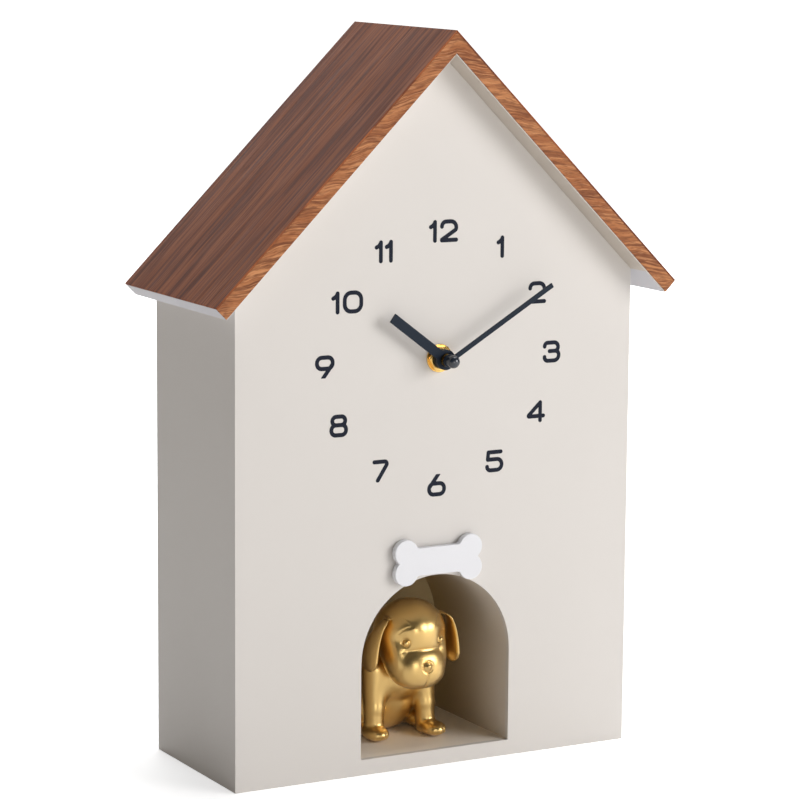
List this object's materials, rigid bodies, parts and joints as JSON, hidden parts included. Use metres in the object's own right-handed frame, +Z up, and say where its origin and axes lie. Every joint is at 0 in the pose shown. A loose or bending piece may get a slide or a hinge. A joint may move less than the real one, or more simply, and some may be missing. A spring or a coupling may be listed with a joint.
{
  "type": "cuckoo clock",
  "caption": "Doghouse-shaped quartz cuckoo clock: gabled case with a walnut roof, dial with numerals, bar hands, bone sign and a gold puppy that slides out of an arched niche.",
  "frame": {"origin": "centre of the case's flat underside", "axes": "+Z up, the dial faces -Y, +X to the right seen from the front"},
  "size_m": [0.2126, 0.0897, 0.305],
  "materials": {
    "case_paint": "satin greige paint",
    "white_paint": "satin white",
    "white_board": "fibreboard painted cool white",
    "walnut_veneer": "satin walnut laminate with straight grain",
    "walnut_edge": "satin lighter walnut edge band",
    "navy_metal": "satin dark navy",
    "brass": "polished",
    "gold_figure": "satin gold metallic paint",
    "steel": "zinc plated",
    "black_plastic": "moulded",
    "white_nylon": "moulded",
    "rubber": "matte",
    "circuit_laminate": "solder mask",
    "cell_label": "plastic sleeve",
    "copper": "enamelled winding",
    "wire_jacket": "PVC"
  },
  "bodies": {
    "clock_case": {"case_shell": "case_paint", "niche_tunnel": "case_paint", "back_cover": "case_paint", "bone_sign": "white_paint", "roof_board_left": "white_board", "roof_board_right": "white_board", "roof_veneer_left": "walnut_veneer", "roof_veneer_right": "walnut_veneer", "roof_edge_band": "walnut_edge", "movement_case": "black_plastic", "movement_cover": "black_plastic", "rubber_gasket": "rubber", "brass_washer": "brass", "brass_nut": "brass", "movement_cell": "cell_label", "stepper_coil": "copper", "stepper_stator": "steel", "motor_gearbox": "brass", "motor_can": "steel", "motor_bracket": "black_plastic", "rack_guide": "black_plastic", "cover_screw_1": "steel", "cover_screw_2": "steel", "cover_screw_3": "steel", "cover_screw_4": "steel", "cover_screw_5": "steel", "battery_tray": "black_plastic", "sound_cell_1": "cell_label", "sound_cell_2": "cell_label", "contact_link": "steel", "contact_plate_1": "steel", "contact_plate_2": "steel", "speaker_basket": "steel", "speaker_cone": "black_plastic", "speaker_magnet": "steel", "circuit_board": "circuit_laminate", "board_screw_1": "steel", "board_screw_2": "steel", "sound_chip": "black_plastic", "slide_switch_body": "steel", "test_switch_body": "steel", "speaker_lead": "wire_jacket", "battery_lead": "wire_jacket", "motor_lead": "wire_jacket"},
    "minute_shaft": {"minute_arbor": "brass", "minute_hand": "navy_metal", "cap_nut": "navy_metal"},
    "hour_shaft": {"hour_pipe": "brass", "hour_wheel": "white_nylon", "hour_hand": "navy_metal"},
    "motion_wheel": {"minute_wheel": "white_nylon"},
    "time_knob": {"setting_knob": "white_nylon"},
    "puppy": {"puppy_head": "gold_figure", "puppy_body": "gold_figure", "rack_carriage": "white_nylon"},
    "pinion": {"drive_pinion": "white_nylon"},
    "battery_lid": {"battery_door": "case_paint"},
    "sound_switch": {"slide_switch_knob": "black_plastic"},
    "volume": {"volume_knob": "black_plastic"},
    "test_key": {"test_button": "white_nylon"}
  },
  "joints": [
    {"name": "minute_turn", "type": "hinge", "parent": "clock_case", "child": "minute_shaft", "pos_m": [0, -0.0375, 0.1715], "axis": [0, 1, 0], "continuous": true},
    {"name": "hour_turn", "type": "hinge", "parent": "clock_case", "child": "hour_shaft", "pos_m": [0, -0.0375, 0.1715], "axis": [0, 1, 0], "continuous": true},
    {"name": "motion_wheel_turn", "type": "hinge", "parent": "clock_case", "child": "motion_wheel", "pos_m": [0, -0.0261, 0.1811], "axis": [0, 1, 0], "continuous": true},
    {"name": "time_knob_turn", "type": "hinge", "parent": "clock_case", "child": "time_knob", "pos_m": [0, -0.0137, 0.1907], "axis": [0, 1, 0], "continuous": true},
    {"name": "puppy_slide", "type": "slide", "parent": "clock_case", "child": "puppy", "axis": [0, -1, 0], "range_m": [0, 0.012]},
    {"name": "pinion_turn", "type": "hinge", "parent": "clock_case", "child": "pinion", "pos_m": [0.0435, 0.0085, 0.0121], "axis": [1, 0, 0], "range_deg": [-143.5, 0]},
    {"name": "battery_lid_swing", "type": "hinge", "parent": "clock_case", "child": "battery_lid", "pos_m": [-0.064, 0.0372, 0.0203], "axis": [-1, 0, 0], "range_deg": [0, 105]},
    {"name": "sound_switch_slide", "type": "slide", "parent": "clock_case", "child": "sound_switch", "axis": [1, 0, 0], "range_m": [-0.003, 0.003]},
    {"name": "volume_turn", "type": "hinge", "parent": "clock_case", "child": "volume", "pos_m": [0.03, 0.034, 0.114], "axis": [0, 1, 0], "range_deg": [-135, 135]},
    {"name": "test_key_press", "type": "slide", "parent": "clock_case", "child": "test_key", "axis": [0, -1, 0], "range_m": [0, 0.0008], "stiffness_N_per_m": 800}
  ],
  "couplings": [
    {"joint": "hour_turn", "follows": "minute_turn", "ratio": 0.083333},
    {"joint": "motion_wheel_turn", "follows": "minute_turn", "ratio": -0.33333},
    {"joint": "time_knob_turn", "follows": "minute_turn", "ratio": 1},
    {"joint": "pinion_turn", "follows": "puppy_slide", "rad_per_m": -208.33}
  ]
}
